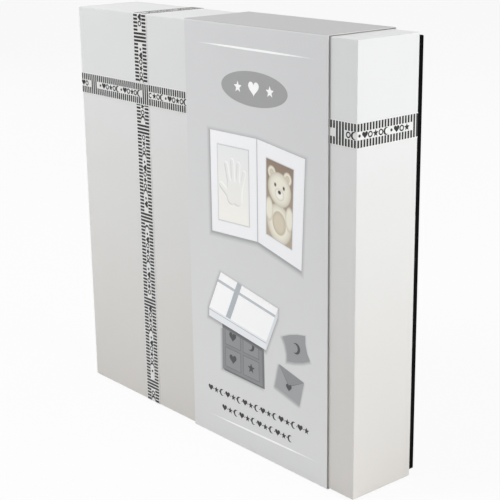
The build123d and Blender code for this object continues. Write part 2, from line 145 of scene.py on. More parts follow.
def paper_tone(tree, where, code, mottle, cloud_mm):
    """The sheet's own colour, with the faint clouding of its pulp."""
    clouds = add_node(tree, "TexNoise",
                      {"Vector": where, "Scale": 1000 / cloud_mm, "Detail": 3.0, "Roughness": 0.55})
    return shaded(tree, linear(code), clouds, 1 - mottle, 1 + mottle / 2, 0.3, 0.7)


def tooth(tree, where, size_mm, depth_mm, detail=4.0, under=None):
    """The fine relief of fibres or of a laminating film, over another relief if there is one."""
    grain = add_node(tree, "TexNoise",
                     {"Vector": where, "Scale": 1000 / size_mm, "Detail": detail, "Roughness": 0.6})
    relief = {"Height": grain, "Distance": depth_mm * MM, "Strength": 1.0}
    if under is not None:
        relief["Normal"] = under
    return add_node(tree, "Bump", relief)


def make_paper(name, code, rough, mottle=0.03, cloud_mm=22, tooth_mm=0.7, depth_mm=0.03, gloss=0.5):
    """A sheet of paper or board: its colour, clouding, fibre relief and gloss."""
    made, tree, where = start_material(name)
    close_material(tree, paper_tone(tree, where, code, mottle, cloud_mm), rough,
                   tooth(tree, where, tooth_mm, depth_mm), more={"Specular IOR Level": gloss})
    return made


def height_share(tree, where, low_mm, high_mm):
    """0 at one height of the object and 1 at another."""
    height = add_node(tree, "SeparateXYZ", {0: where}).outputs["Z"]
    return add_node(tree, "MapRange",
                    {"Value": height, "From Min": low_mm * MM, "From Max": high_mm * MM})


TUCK_AT = 128.0  # the wrap's corners are tucked in this far from the lid's middle


def make_wrap():
    """Art paper with a matt film, wrapped round the board: clean white with a soft, wide gloss.
    Painted shade makes it a little warmer and duller low down, and its tucked corners show
    as a faint step."""
    made, tree, where = start_material("art_paper_matt_laminated")
    unshaded_tone = paper_tone(tree, where, "#DCDDDC", 0.012, 60)
    # painted shade: the white turns darker and warmer towards the bottom of the lid
    tone = add_node(tree, "Mix", {0: height_share(tree, where, -30, 240), 6: linear("#D1CDC8"),
                                  7: unshaded_tone}, data_type="RGBA")
    sideways = add_node(tree, "SeparateXYZ", {0: where}).outputs["X"]
    from_middle = add_node(tree, "Math", {0: sideways}, operation="ABSOLUTE")
    tuck = add_node(tree, "MapRange", {"Value": from_middle, "From Min": (TUCK_AT - 0.1) * MM,
                                       "From Max": (TUCK_AT + 0.1) * MM})
    step = add_node(tree, "Math", {0: tuck, 1: facing(tree, "Z", 0.9)}, operation="MULTIPLY")
    fold = add_node(tree, "Bump", {"Height": step, "Distance": 0.15 * MM, "Strength": 0.7})
    close_material(tree, tone, 0.42, tooth(tree, where, 1.6, 0.012, under=fold))
    return made


wrap_white = make_wrap()
# Uncoated white liner: the same white, chalkier and a little fibrous
liner_white = make_paper("uncoated_white_liner", "#E6E5E1", 0.8, tooth_mm=0.5)
# Black dyed-through cover paper: deep and matt, with a faint grey bloom from its fibres
cover_black = make_paper("dyed_through_black_paper", "#070708", 0.82, mottle=0.35, tooth_mm=0.45,
                         depth_mm=0.05, gloss=0.05)
# Pale grey liner: soft grey with the clouding of recycled pulp
liner_grey = make_paper("uncoated_grey_liner", "#C6C6C4", 0.85, mottle=0.05, cloud_mm=9)
# Grey bookbinder's board, unbleached: mid grey with dark specks of pulp
board_grey = make_paper("recycled_grey_board", "#8F8C86", 0.95, mottle=0.16, cloud_mm=1.6,
                        tooth_mm=0.5, depth_mm=0.08)
# Solid bleached board of the divider strips: smooth grey, cut clean
divider_grey = make_paper("grey_dividing_board", "#B4B4B2", 0.75, mottle=0.04)
# Off-white cartonboard of the envelope and pillow box: creamy and slightly fibrous
carton_cream = make_paper("off_white_cartonboard", "#DAD6CC", 0.7, mottle=0.05, cloud_mm=7)
# Thin white card behind the clay and under the picture: plain and chalky
card_white = make_paper("white_pulp_card", "#E2E0DA", 0.9)
# Pressed hardboard: dark brown, felted from fine fibres, with a dull machined skin
hardboard = make_paper("pressed_hardboard", "#6A4A34", 0.6, mottle=0.16, cloud_mm=5, tooth_mm=0.8,
                       depth_mm=0.05, gloss=0.35)


def sleeve_tone(tree, where):
    """The sleeve's printed grey, which every picture fades into, made a little paler low down
    by painted light.
    """
    high = paper_tone(tree, where, "#D4D4D5", 0.008, 40)
    # painted light: the grey is made paler towards the bottom, against the lamps' fall-off
    return add_node(tree, "Mix", {0: height_share(tree, where, 30, 270), 6: linear("#DDDDDD"),
                                  7: high}, data_type="RGBA")


def make_sleeve_card():
    """Coated cartonboard, offset printed pale grey, with painted shade on its top, and a cut edge.
    """
    made, tree, where = start_material("coated_cartonboard_offset_grey")
    top_shade_mask = facing(tree, "Z", 0.6, both_ways=False)
    # painted shade: the upward-facing top panel is coloured a deeper grey than the front
    panels = add_node(tree, "Mix", {0: top_shade_mask, 6: sleeve_tone(tree, where),
                                    7: linear("#B6B5B6")}, data_type="RGBA")
    cut_edge = facing(tree, "X", 0.9)
    colour = add_node(tree, "Mix", {0: cut_edge, 6: panels, 7: linear("#D0CECA")},
                      data_type="RGBA")
    close_material(tree, colour, 0.5, tooth(tree, where, 1.2, 0.012))
    return made


def make_sleeve_ink():
    """Offset ink on the sleeve: the print's own attribute holds its colour, which fades to card."""
    made, tree, where = start_material("offset_ink_on_cartonboard")
    ink = add_node(tree, "Attribute", attribute_name="ink").outputs
    colour = add_node(tree, "Mix", {0: ink["Alpha"], 6: sleeve_tone(tree, where), 7: ink["Color"]},
                      data_type="RGBA")
    close_material(tree, colour, 0.5, tooth(tree, where, 1.2, 0.012))
    return made


def make_ink(name, rough):
    """Ink on another sheet: the colour is held by the print's own attribute, faintly mottled."""
    made, tree, where = start_material(name)
    ink = add_node(tree, "Attribute", attribute_name="ink").outputs
    grain = add_node(tree, "TexNoise", {"Vector": where, "Scale": 900.0, "Detail": 2.0})
    close_material(tree, shaded(tree, ink["Color"], grain, 0.94, 1.04), rough,
                   tooth(tree, where, 0.8, 0.01))
    return made


sleeve_card = make_sleeve_card()
sleeve_ink = make_sleeve_ink()
# Grey ink on the tray's liner: dull, with the liner's own softness
liner_ink = make_ink("grey_ink_on_liner", 0.7)
# Grey ink on the uncoated carton of the envelope and the pillow box: dull and slightly sunk in
carton_ink = make_ink("grey_ink_on_carton", 0.75)
# Glossy photographic paper: smooth, so its picture looks wet beside the card
photo_ink = make_ink("glossy_photographic_print", 0.16)

THREAD = 0.5  # spacing of the satin's threads, coarser than real ones so that they show close to


def make_satin():
    """Woven polyester satin: fine ribs across the ribbon and a silky sheen along its threads."""
    made, tree, _ = start_material("woven_satin_white")
    flat = add_node(tree, "UVMap", uv_map="along")
    parts = add_node(tree, "SeparateXYZ", {0: flat}).outputs
    waves = []
    for axis in ("X", "Y"):
        turns = add_node(tree, "Math", {0: parts[axis], 1: 2 * pi / (THREAD * MM)},
                         operation="MULTIPLY")
        waves.append(add_node(tree, "Math", {0: turns}, operation="SINE"))
    weave = add_node(tree, "Math", dict(enumerate(waves)), operation="MULTIPLY")
    bump = add_node(tree, "Bump", {"Height": weave, "Distance": 0.03 * MM, "Strength": 0.6})
    # painted shade and light: the white is darker in the weave's hollows and lighter on its ribs
    close_material(tree, shaded(tree, linear("#E4E4E2"), weave, 0.93, 1.03, -1.0), 0.4, bump,
                   DEFAULT_IOR, {"Sheen Weight": 0.25, "Sheen Roughness": 0.35})
    return made


def make_float_thread():
    """Black satin floats woven into the ribbon: each a bundle of threads with a dull shine."""
    made, tree, where = start_material("woven_satin_black_float")
    strands = add_node(tree, "TexNoise", {"Vector": where, "Scale": 2600.0, "Detail": 2.0})
    tone = shaded(tree, linear("#0A0A0A"), strands, 0.6, 1.5)
    bump = add_node(tree, "Bump", {"Height": strands, "Distance": 0.03 * MM, "Strength": 0.5})
    close_material(tree, tone, 0.42, bump, DEFAULT_IOR)
    return made


satin_white = make_satin()
satin_black = make_float_thread()


# Wood, clay, sheet and metal

def make_wood(name, code, darker, rough, along, fleck_mm, depth_mm, show):
    """Wood with its grain along one axis; show is how strongly the grain colours the surface."""
    made, tree, where = start_material(name)
    squeeze = {"X": (0.06, 1, 1), "Z": (1, 1, 0.06)}[along]
    laid = add_node(tree, "Mapping", {"Vector": where, "Scale": squeeze})
    grain = add_node(tree, "TexNoise", {"Vector": laid, "Scale": 1000 / fleck_mm, "Detail": 5.0,
                                        "Distortion": 0.4})
    bands = add_node(tree, "TexNoise", {"Vector": laid, "Scale": 1000 / (fleck_mm * 7),
                                        "Detail": 2.0})
    both = add_node(tree, "Math", {0: grain, 1: bands}, operation="MULTIPLY")
    share = add_node(tree, "MapRange", {"Value": both, "From Min": 0.12, "From Max": 0.42,
                                        "To Min": 0.0, "To Max": show})
    tone = add_node(tree, "Mix", {0: share, 6: linear(code), 7: linear(darker)}, data_type="RGBA")
    bump = add_node(tree, "Bump", {"Height": grain, "Distance": depth_mm * MM, "Strength": 1.0})
    close_material(tree, tone, rough, bump, DEFAULT_IOR)
    return made


# Sprayed satin lacquer on wood: white, with the grain just telegraphing through, rail by rail
LACQUER = ("#EBEAE6", "#E0DFDA", 0.34)
lacquer_rail = make_wood("white_lacquered_wood_rail", *LACQUER, "X", 1.6, 0.05, 0.8)
lacquer_stile = make_wood("white_lacquered_wood_stile", *LACQUER, "Z", 1.6, 0.05, 0.8)
# Sanded beech, unfinished: warm and pale, with short darker flecks along the roller
beech = make_wood("sanded_beech", "#D9B88C", "#B98D5C", 0.6, "Z", 1.1, 0.04, 1.0)


def make_clay():
    """Air-dried clay: chalky off-white, with fine sand and a few pinholes left by the roller."""
    made, tree, where = start_material("air_dried_white_clay")
    sand = add_node(tree, "TexNoise", {"Vector": where, "Scale": 1400.0, "Detail": 4.0})
    pits = add_node(tree, "TexVoronoi", {"Vector": where, "Scale": 260.0})
    holes = add_node(tree, "MapRange", {"Value": pits, "From Min": 0.0, "From Max": 0.16})
    height = add_node(tree, "Math", {0: sand, 1: holes}, operation="ADD")
    bump = add_node(tree, "Bump", {"Height": height, "Distance": 0.05 * MM, "Strength": 0.8})
    close_material(tree, paper_tone(tree, where, "#E6E1D8", 0.05, 14), 0.92, bump, 1.45)
    return made


def make_mat_board():
    """Bevel-cut mat board: a softly textured cream face and a brighter core in the cut."""
    made, tree, where = start_material("bevel_cut_mat_board")
    colour = add_node(tree, "Mix", {0: facing(tree, "Y", 0.95), 6: linear("#EFEEEA"),
                                    7: paper_tone(tree, where, "#E4E1D8", 0.03, 6)},
                      data_type="RGBA")
    close_material(tree, colour, 0.9, tooth(tree, where, 0.9, 0.05), 1.45)
    return made


def make_acrylic():
    """Cast acrylic sheet: clear, with a hard polished gloss and the faintest waviness."""
    made, tree, where = start_material("clear_cast_acrylic")
    close_material(tree, linear("#FAFCFC"), 0.03, tooth(tree, where, 30, 0.01, detail=0.0), 1.49,
                   {"Transmission Weight": 1.0})
    return made


def make_metal(name, code, rough, streak_mm, along):
    """A plated or lacquered metal, drawn or brushed along one axis."""
    made, tree, where = start_material(name)
    squeeze = {"X": (0.05, 1, 1), "Z": (1, 1, 0.05)}[along]
    laid = add_node(tree, "Mapping", {"Vector": where, "Scale": squeeze})
    streaks = add_node(tree, "TexNoise", {"Vector": laid, "Scale": 1000 / streak_mm,
                                          "Detail": 3.0})
    gloss = add_node(tree, "MapRange", {"Value": streaks, "To Min": rough * 0.7,
                                        "To Max": rough * 1.4})
    bump = add_node(tree, "Bump", {"Height": streaks, "Distance": 0.01 * MM, "Strength": 0.6})
    close_material(tree, linear(code), gloss, bump, DEFAULT_IOR, {"Metallic": 1.0})
    return made


clay = make_clay()
mat_board = make_mat_board()
acrylic = make_acrylic()
# Lacquered brass strip, stamped and rolled: warm yellow with soft lengthwise streaks
brass = make_metal("lacquered_brass", "#C9A660", 0.3, 0.4, "Z")
# Nickel-plated steel: cool, bright and lightly brushed
nickel = make_metal("nickel_plated_steel", "#BDBAB2", 0.28, 0.3, "X")

HALVES = ("print", "photo")
NODE_MATERIALS = {
    wrap_white: ["lid_wrap"],
    liner_white: ["lid_lining"],
    board_grey: ["lid_front_panel", "base_back_panel",
                 *(f"{box}_{side}_wall" for box in ("lid", "base")
                   for side in ("top", "bottom", "left", "right"))],
    cover_black: ["base_wrap"],
    liner_grey: ["base_lining"],
    divider_grey: ["divider_long", "divider_cross"],
    carton_cream: ["keepsake_envelope", "keepsake_pillow_box"],
    beech: ["rolling_pin"],
    lacquer_rail: [f"{half}_rail_{end}" for half in HALVES for end in ("top", "bottom")],
    lacquer_stile: [f"{half}_stile_{side}" for half in HALVES for side in ("left", "right")],
    clay: ["clay_slab"],
    card_white: ["clay_card", "photo_picture"],
    hardboard: ["print_backing_board", "photo_backing_board"],
    acrylic: ["photo_glazing"],
    mat_board: ["photo_mat"],
    brass: ["hinge_pins",
            *(f"hinge_{piece}_{half}" for half in HALVES for piece in ("plates", "screws"))],
    nickel: [f"{half}_button_{piece}" for half in HALVES for piece in ("left", "right", "rivets")],
    satin_white: ["ribbon_upright", "ribbon_across"],
    sleeve_card: ["sleeve"],
}
for finish, names in NODE_MATERIALS.items():
    for name in names:
        node = frame["nodes"][name]
        node.data.materials.clear()
        node.data.materials.append(finish)


def box_mm(node):
    """A node's lowest and highest corners in millimetres."""
    low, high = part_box(node)
    return low / MM, high / MM


def new_piece(name, verts_mm, faces, finish):
    """A flat-shaded mesh object from points in millimetres, its place held by the mesh."""
    data = bpy.data.meshes.new(name)
    data.from_pydata([Vector(v) * MM for v in verts_mm], [], faces)
    data.materials.append(finish)
    data.polygons.foreach_set("use_smooth", [False] * len(data.polygons))
    piece = bpy.data.objects.new(name, data)
    bpy.context.scene.collection.objects.link(piece)
    return piece


def face_outwards(data):
    """Turns every face of a closed mesh outwards."""
    shell = bmesh.new()
    shell.from_mesh(data)
    bmesh.ops.recalc_face_normals(shell, faces=shell.faces)
    shell.to_mesh(data)
    shell.free()


def shaped_mesh(piece):
    """The mesh that a piece's modifiers make of it."""
    bpy.context.view_layer.update()
    seen = piece.evaluated_get(bpy.context.evaluated_depsgraph_get())
    return bpy.data.meshes.new_from_object(seen)


# Outlines for prints and motifs, as lists of (x, z)

def circle(x, z, radius, count):
    """A circle about x and z."""
    return [(x + radius * cos(2 * pi * i / count), z + radius * sin(2 * pi * i / count))
            for i in range(count)]


def rounded(x, z, width, height, radius, count=6):
    """A rounded rectangle about x and z."""
    points = []
    for quarter, (sx, sz) in enumerate(((1, 1), (-1, 1), (-1, -1), (1, -1))):
        for i in range(count + 1):
            turn = pi / 2 * (quarter + i / count)
            points.append((x + sx * (width / 2 - radius) + radius * cos(turn),
                           z + sz * (height / 2 - radius) + radius * sin(turn)))
    return points


def heart(x, z, size, count=36):
    """A heart about x and z, as wide as its size."""
    points = []
    for i in range(count):
        t = 2 * pi * i / count
        tall = 13 * cos(t) - 5 * cos(2 * t) - 2 * cos(3 * t) - cos(4 * t) + 2.5
        points.append((x + size * sin(t) ** 3 * 0.5, z + size * tall / 32))
    return points


def star(x, z, size, tips=5):
    """A star about x and z, with one tip upwards."""
    points = []
    for i in range(2 * tips):
        reach = size / 2 * (1.0 if i % 2 == 0 else 0.45)
        turn = pi / 2 + pi * i / tips
        points.append((x + reach * cos(turn), z + reach * sin(turn)))
    return points


def moon(x, z, size, count=18):
    """A crescent, open to the right."""
    radius = size / 2
    outer = [(x + radius * cos(t), z + radius * sin(t))
             for t in (radians(50) + radians(260) * i / count for i in range(count + 1))]
    inner = [(x + radius * 0.42 + radius * 0.8 * cos(t), z + radius * 0.8 * sin(t))
             for t in (radians(286) - radians(212) * i / count for i in range(1, count))]
    return outer + inner


def turned(x, z, angle, outline):
    """An outline about its own origin, turned and moved."""
    c, s = cos(radians(angle)), sin(radians(angle))
    return [(x + c * px - s * pz, z + s * px + c * pz) for px, pz in outline]


def grown(outline, by):
    """The outline moved outwards by a distance."""
    count = len(outline)
    area = sum(outline[i - 1][0] * outline[i][1] - outline[i][0] * outline[i - 1][1]
               for i in range(count))
    sign = 1.0 if area > 0 else -1.0
    result = []
    for i, (x, z) in enumerate(outline):
        before = Vector((x, z)) - Vector(outline[i - 1])
        after = Vector(outline[(i + 1) % count]) - Vector((x, z))
        first = Vector((before.y, -before.x)).normalized() * sign
        second = Vector((after.y, -after.x)).normalized() * sign
        move = (first + second) / max(0.3, 1 + first.dot(second))
        result.append((x + move.x * by, z + move.y * by))
    return result


def clipped(outline, low, high):
    """What of an outline lies between two heights."""
    for limit, keep in ((low, 1.0), (high, -1.0)):
        cut = []
        for (ax, az), (bx, bz) in zip(outline, outline[1:] + outline[:1]):
            inside_a, inside_b = (az - limit) * keep >= 0, (bz - limit) * keep >= 0
            if inside_a:
                cut.append((ax, az))
            if inside_a != inside_b:
                cut.append((ax + (bx - ax) * (limit - az) / (bz - az), limit))
        outline = cut
        if len(outline) < 3:
            return []
    return outline


def in_quad(corners, u, v):
    """A point of a four-cornered field: corners run from lower left, against the clock."""
    (ax, az), (bx, bz), (cx, cz), (dx, dz) = corners
    return ((ax * (1 - u) + bx * u) * (1 - v) + (dx * (1 - u) + cx * u) * v,
            (az * (1 - u) + bz * u) * (1 - v) + (dz * (1 - u) + cz * u) * v)


def window_of(corners, left, right, low, high):
    """The part of a four-cornered field between two shares of its width and two of its height."""
    return [in_quad(corners, *share)
            for share in ((left, low), (right, low), (right, high), (left, high))]


def net_faces(columns, rows):
    """The faces of a net with so many meshes across and up, its points counted row by row."""
    wide = columns + 1
    return [(r * wide + c, r * wide + c + 1, (r + 1) * wide + c + 1, (r + 1) * wide + c)
            for r in range(rows) for c in range(columns)]


class Print:
    """Flat inked shapes in one mesh, laid on a sheet; its layers lie a little apart."""

    LAYER = 0.02  # how far one layer lies above the one under it

    def __init__(self, place, side=-1):
        """place gives the point for x, z and a lift; side is where along Y the print looks."""
        self.place = place
        self.side = side
        self.verts, self.faces, self.inks = [], [], []

    def add(self, points, faces, inks, layer):
        """Adds points with an ink each, and the faces between them."""
        start = len(self.verts)
        self.verts += [self.place(x, z, layer * self.LAYER) for x, z in points]
        self.faces += [[start + i for i in face] for face in faces]
        self.inks += inks

    def shape(self, outline, code, layer=1):
        """A filled outline in one colour."""
        faces = tessellate_polygon([[Vector((x, z, 0)) for x, z in outline]])
        self.add(outline, faces, [linear(code)] * len(outline), layer)

    def band(self, outer, inner, outer_ink, inner_ink, layer):
        """The strip between two outlines with as many points each, its colour running across."""
        count = len(outer)
        faces = [(i, (i + 1) % count, count + (i + 1) % count, count + i) for i in range(count)]
        self.add(outer + inner, faces, [outer_ink] * count + [inner_ink] * count, layer)

    def grid(self, corners, columns, rows, tone_at, layer):
        """A picture over a four-cornered field: tone_at gives its colour at u and v from 0 to 1."""
        spots = [(column / columns, row / rows)
                 for row in range(rows + 1) for column in range(columns + 1)]
        self.add([in_quad(corners, *spot) for spot in spots], net_faces(columns, rows),
                 [tone_at(*spot) for spot in spots], layer)

    def finish(self, name, ink, body, slot):
        """Makes the piece, inked and with every face towards its side."""
        piece = new_piece(name, self.verts, self.faces, ink)
        paint = piece.data.color_attributes.new(name="ink", type="FLOAT_COLOR", domain="POINT")
        paint.data.foreach_set("color", [c for tone in self.inks for c in tone])
        for face in piece.data.polygons:
            if face.normal.y * self.side < 0:
                face.flip()
        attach(piece, body)


# The hand: palm and fingers as rounded bars that flow into each other, in millimetres from the
# palm's middle. Each bar has its two ends and its radius.

HAND_BARS = (
    (-15.5, 3.0, -26.0, 32.5, 4.3),
    (-7.5, 6.0, -11.5, 44.5, 4.7),
    (2.5, 7.0, 4.8, 47.8, 4.9),
    (12.0, 5.0, 20.8, 41.0, 4.7),
    (12.0, -10.0, 34.5, 5.8, 5.4),
    (-8.0, -11.5, -8.5, 6.0, 12.0),
    (8.0, -11.0, 7.5, 5.0, 12.0),
)
FLOW = 1.3  # how softly the bars join
FAR_OFF = 60.0  # a bar farther off than this has no part in the hand


def bar_distance(x, z, ax, az, bx, bz, radius):
    """Distance from a point to a rounded bar."""
    run_x, run_z = bx - ax, bz - az
    share = held(((x - ax) * run_x + (z - az) * run_z) / (run_x ** 2 + run_z ** 2))
    return hypot(x - ax - run_x * share, z - az - run_z * share) - radius


def hand_depth(x, z):
    """How far the skin pressed in, from 0 at the outline to 1: round hollows with a soft rim."""
    total = sum(exp(-min(bar_distance(x, z, *bar), FAR_OFF) / FLOW) for bar in HAND_BARS)
    inside = FLOW * log(max(total, 1e-24))
    rim = exp(-(inside / 1.3 + 0.9) ** 2) * 0.14
    wall = eased(held(inside / 2.6 + 0.25))
    return wall * (0.82 + 0.18 * held(inside / 6)) - rim


# The sleeve's print

sleeve_front = box_mm("sleeve")[0].y


def on_sleeve(x, z, lift):
    """A point of the sleeve's front panel."""
    return (x, sleeve_front - lift, z)


def inked(code, alpha=1.0):
    """A linear ink with how much of it covers the card."""
    return linear(code)[:3] + (alpha,)


def painted_highlight_line(sheet, start, end, half=0.7, steps=40):
    """A painted highlight: a white line that swells and fades out at both ends."""
    points, inks = [], []
    for i in range(steps + 1):
        x, z = blend(start, end, i / steps)
        swell = sin(pi * i / steps)
        tall = half * (0.25 + 0.75 * swell)
        points += [(x, z - tall), (x, z + tall)]
        inks += [inked("#FFFFFF", held(1.5 * swell))] * 2
    faces = [(2 * i, 2 * i + 2, 2 * i + 3, 2 * i + 1) for i in range(steps)]
    sheet.add(points, faces, inks, 1)


def soft_shadow(sheet, outline, spread, strength, layer=1, shift=(0.6, -0.9)):
    """A printed shadow that fades into the card round a shape."""
    core = [(x + shift[0], z + shift[1]) for x, z in outline]
    dense, thin, none = (inked("#6A6A6C", strength * share) for share in (1.0, 0.45, 0.0))
    middle = grown(core, spread * 0.4)
    sheet.band(core, grown(core, -1.4), dense, dense, layer)
    sheet.band(middle, core, thin, dense, layer)
    sheet.band(grown(core, spread), middle, none, thin, layer)


FUR, INNER, DARK, FUR_SHADE = "#EFEBDC", "#D8CDB8", "#3A2C25", "#A99C86"
BEAR = (  # the bear's round parts from back to front: middle, half width and height, and colour
    (0.0, -0.62, 0.44, 0.42, FUR),
    (-0.36, -0.40, 0.14, 0.26, FUR), (0.36, -0.40, 0.14, 0.26, FUR),
    (0.0, -0.60, 0.24, 0.25, INNER),
    (-0.27, 0.42, 0.14, 0.14, FUR), (0.27, 0.42, 0.14, 0.14, FUR),
    (-0.27, 0.42, 0.075, 0.075, INNER), (0.27, 0.42, 0.075, 0.075, INNER),
    (0.0, 0.12, 0.40, 0.36, FUR),
    (0.0, 0.02, 0.16, 0.125, "#F7F4EA"), (0.0, 0.065, 0.055, 0.04, DARK),
    (-0.15, 0.19, 0.034, 0.04, DARK), (0.15, 0.19, 0.034, 0.04, DARK),
)


def plush_tone(u, v):
    """A plush toy bear before a warm backcloth, at a share of the picture's width and height."""
    x, z = (u - 0.5) * 0.92, (v - 0.5) * 1.66 - 0.16
    tone = blend(linear("#8F7C6C"), linear("#B5A796"), held(0.5 - z * 0.7))
    for cx, cz, rx, rz, code in BEAR:
        reach = hypot((x - cx) / rx, (z - cz) / rz)
        round_off = 0.0 if code == DARK else 0.75 * held((reach - 0.55) / 0.45)
        within = eased(held(0.5 - (reach - 1) * rx / 0.03))
        tone = blend(tone, blend(linear(code), linear(FUR_SHADE), round_off ** 2), within)
    nap = 0.012 * sin(83 * x + 5 * sin(61 * z)) * sin(71 * z + 4 * sin(53 * x))
    return tuple(c * (1 + nap) for c in tone[:3]) + (1.0,)


def relief_tone(u, v, wide=80.24, high=122.72, step=0.7):
    """The pressed hand as a pale picture, its hollows lit from the upper left. The picture spans
    wide by high millimetres of the hand."""
    x, z = (u - 0.5) * wide + 3.0, (v - 0.5) * high + 9.0
    slope_x = hand_depth(x + step, z) - hand_depth(x - step, z)
    slope_z = hand_depth(x, z + step) - hand_depth(x, z - step)
    light = 0.5 * slope_x - 0.62 * slope_z
    value = max(0.35, min(1.12, 1 + 0.5 * light - 0.03 * hand_depth(x, z)))
    ground = blend(linear("#ECEDEE"), linear("#F8F6F0"), held(1.1 - v))
    return tuple(held(c * value) for c in ground[:3]) + (1.0,)


def frame_leaf(sheet, corners, opening, tone_at, columns, rows):
    """One leaf of the printed double frame: its white rails, edge lines and picture."""
    sheet.shape(grown(corners, 0.25), "#A9ABAE", 2)
    sheet.shape(corners, "#F7F7F9", 3)
    hole = window_of(corners, *opening)
    sheet.band(grown(hole, 0.9), hole, inked("#F4F4F6"), inked("#C9CACD"), 4)
    sheet.shape(grown(hole, 0.12), "#97928C", 5)
    sheet.grid(hole, columns, rows, tone_at, 6)


sheet = Print(on_sleeve)
# painted highlights: white lines that fade out, near the sleeve's top and bottom
painted_highlight_line(sheet, (-3.5, 267.8), (107.8, 267.2))
painted_highlight_line(sheet, (-0.3, 14.2), (111.2, 15.8))

# a plain oval near the top, with a heart between two stars
OVAL_X, OVAL_Z = 52.4, 243.6
sheet.shape([(OVAL_X + 31.0 * x, OVAL_Z + 10.8 * z) for x, z in circle(0, 0, 1.0, 72)], "#A2A2A2")
for dx, motif, size in ((-15.0, star, 7.6), (0.0, heart, 10.0), (15.0, star, 7.6)):
    sheet.shape(motif(OVAL_X + dx, OVAL_Z, size), "#FFFFFF", 2)

# two rows of small motifs under the pictures, with a dot between each two
ROW_INK, ROW_STEP = "#2E2E30", 6.0
for height, first, count in ((33.5, 3.5, 17), (23.0, 18.0, 12)):
    for number in range(count):
        x = first + ROW_STEP * number
        sheet.shape((heart, star, moon)[number % 3](x, height, 4.9), ROW_INK)
        if number + 1 < count:
            sheet.shape(circle(x + ROW_STEP / 2, height, 0.42, 10), ROW_INK)
sheet.finish("sleeve_print", sleeve_ink, "sleeve", "sleeve_card")

# The pictures between them are set out from the right: x counts leftwards from here
PICTURES_FROM = 107.6
sheet = Print(lambda x, z, lift: on_sleeve(PICTURES_FROM - x, z, lift))

# the double frame, opened like a book
left_leaf = [(12.4, 137.6), (52.5, 147.6), (52.3, 213.4), (9.0, 207.6)]
right_leaf = [(53.3, 147.6), (98.6, 145.9), (98.6, 213.2), (53.1, 213.4)]
soft_shadow(sheet, [left_leaf[0], (52.9, 147.6), *right_leaf[1:3], (52.7, 213.4), left_leaf[3]],
            3.2, 0.55)
frame_leaf(sheet, left_leaf, (0.23, 0.80, 0.14, 0.86), plush_tone, 80, 144)
frame_leaf(sheet, right_leaf, (0.17, 0.84, 0.13, 0.87), relief_tone, 92, 144)
sheet.shape([(52.4, 147.4), (53.3, 147.4), (53.1, 213.4), (52.3, 213.4)], "#C3C4C7", 6)

# a tray with an icon in each compartment
ICON_INK = "#4C4D4F"
tray = [(50.0, 50.5), (90.5, 52.0), (90.0, 103.0), (50.8, 100.5)]
soft_shadow(sheet, tray, 2.4, 0.5)
sheet.shape(tray, "#8A8B8D", 2)
sheet.shape([tray[0], tray[3], (48.4, 98.8), (47.8, 49.4)], "#77787A", 2)
sheet.shape([tray[0], (47.8, 49.4), (88.2, 50.7), tray[1]], "#6E6F71", 2)
for number, motif in enumerate((star, heart, moon, heart, star, moon)):
    left, low = 0.08 + 0.46 * (number % 2), 0.05 + 0.31 * (number // 2)
    cell = window_of(tray, left, left + 0.38, low, low + 0.26)
    sheet.shape(grown(cell, 0.3), "#5D5E60", 3)
    sheet.shape(cell, "#929395", 4)
    sheet.shape(motif(*in_quad(cell, 0.5, 0.5), 7.2), ICON_INK, 5)

# a tied box laid across it: its shadow, and where that falls on the tray a plain darker edge
box_top = [(34.2, 108.1), (45.6, 83.3), (103.6, 92.0), (90.6, 119.2)]
box_foot = [(34.6, 101.7), (46.0, 76.9), (104.0, 85.6)]
box_end = [box_top[0], box_foot[0], box_foot[1], box_top[1]]
box_side = [box_top[1], box_foot[1], box_foot[2], box_top[2]]
soft_shadow(sheet, [*box_foot, box_top[2], box_top[3], box_top[0]], 2.6, 0.5, 1.5)
for deep, code, layer in ((2.6, "#747577", 6), (1.4, "#626365", 6.5)):
    sheet.shape([(50.1, 77.6), (90.1, 83.6), (90.1, 83.6 - deep), (50.1, 77.6 - deep)], code, layer)
for panel, code in ((box_top, "#FFFFFF"), (box_end, "#E3E6E9"), (box_side, "#EEF0F3")):
    sheet.shape(panel, code, 7)
for panel, code in ((box_top, "#BFC4C9"), (box_side, "#AEB3B8")):
    sheet.shape(window_of(panel, 0.20, 0.27, 0.0, 1.0), code, 8)
sheet.shape(window_of(box_top, 0.0, 1.0, 0.62, 0.70), "#B4BAC0", 9)

# an envelope and a pillow box beside it
for place, outline, code, marks in (
    ((24.0, 60.0, 14), rounded(0, 0, 24, 17, 0.8), "#A3A4A6",
     (([(-12, 8.2), (0, -1.6), (12, 8.2), (11.2, 8.5), (-11.2, 8.5)], "#8F9092"),
      ([(-12, 8.2), (0, -1.6), (12, 8.2), (0, -0.7)], "#77787A"))),
    ((17.5, 86.0, -16), [(-11, -8), (-9.6, -3), (-9.6, 3), (-11, 8), (-4, 8.9), (4, 8.9), (11, 8),
                         (9.6, 3), (9.6, -3), (11, -8), (4, -8.9), (-4, -8.9)], "#9C9D9F", ()),
):
    body = turned(*place, outline)
    soft_shadow(sheet, body, 1.8, 0.45)
    sheet.shape(body, code, 2)
    for layer, (mark, tone) in enumerate(marks, 3):
        sheet.shape(turned(*place, mark), tone, layer)
sheet.shape(heart(24.4, 57.6, 5.4), ICON_INK, 5)
sheet.shape(moon(17.5, 86.0, 7.4), ICON_INK, 3)
sheet.finish("sleeve_pictures", sleeve_ink, "sleeve", "sleeve_card")


# Woven ribbons, glued round the lid: a satin ground, and black floats woven into it

RIBBON_TURN = 0.8  # radius of the ribbon's outer face where it folds over an edge
RAMP = 2.5  # length of the slope on which one ribbon climbs over the other
upright_low, upright_high = box_mm("ribbon_upright")
across_low, across_high = box_mm("ribbon_across")
RIBBON_THICK = box_mm("lid_wrap")[0].y - upright_low.y
RIBBON_WIDE = upright_high.x - upright_low.x


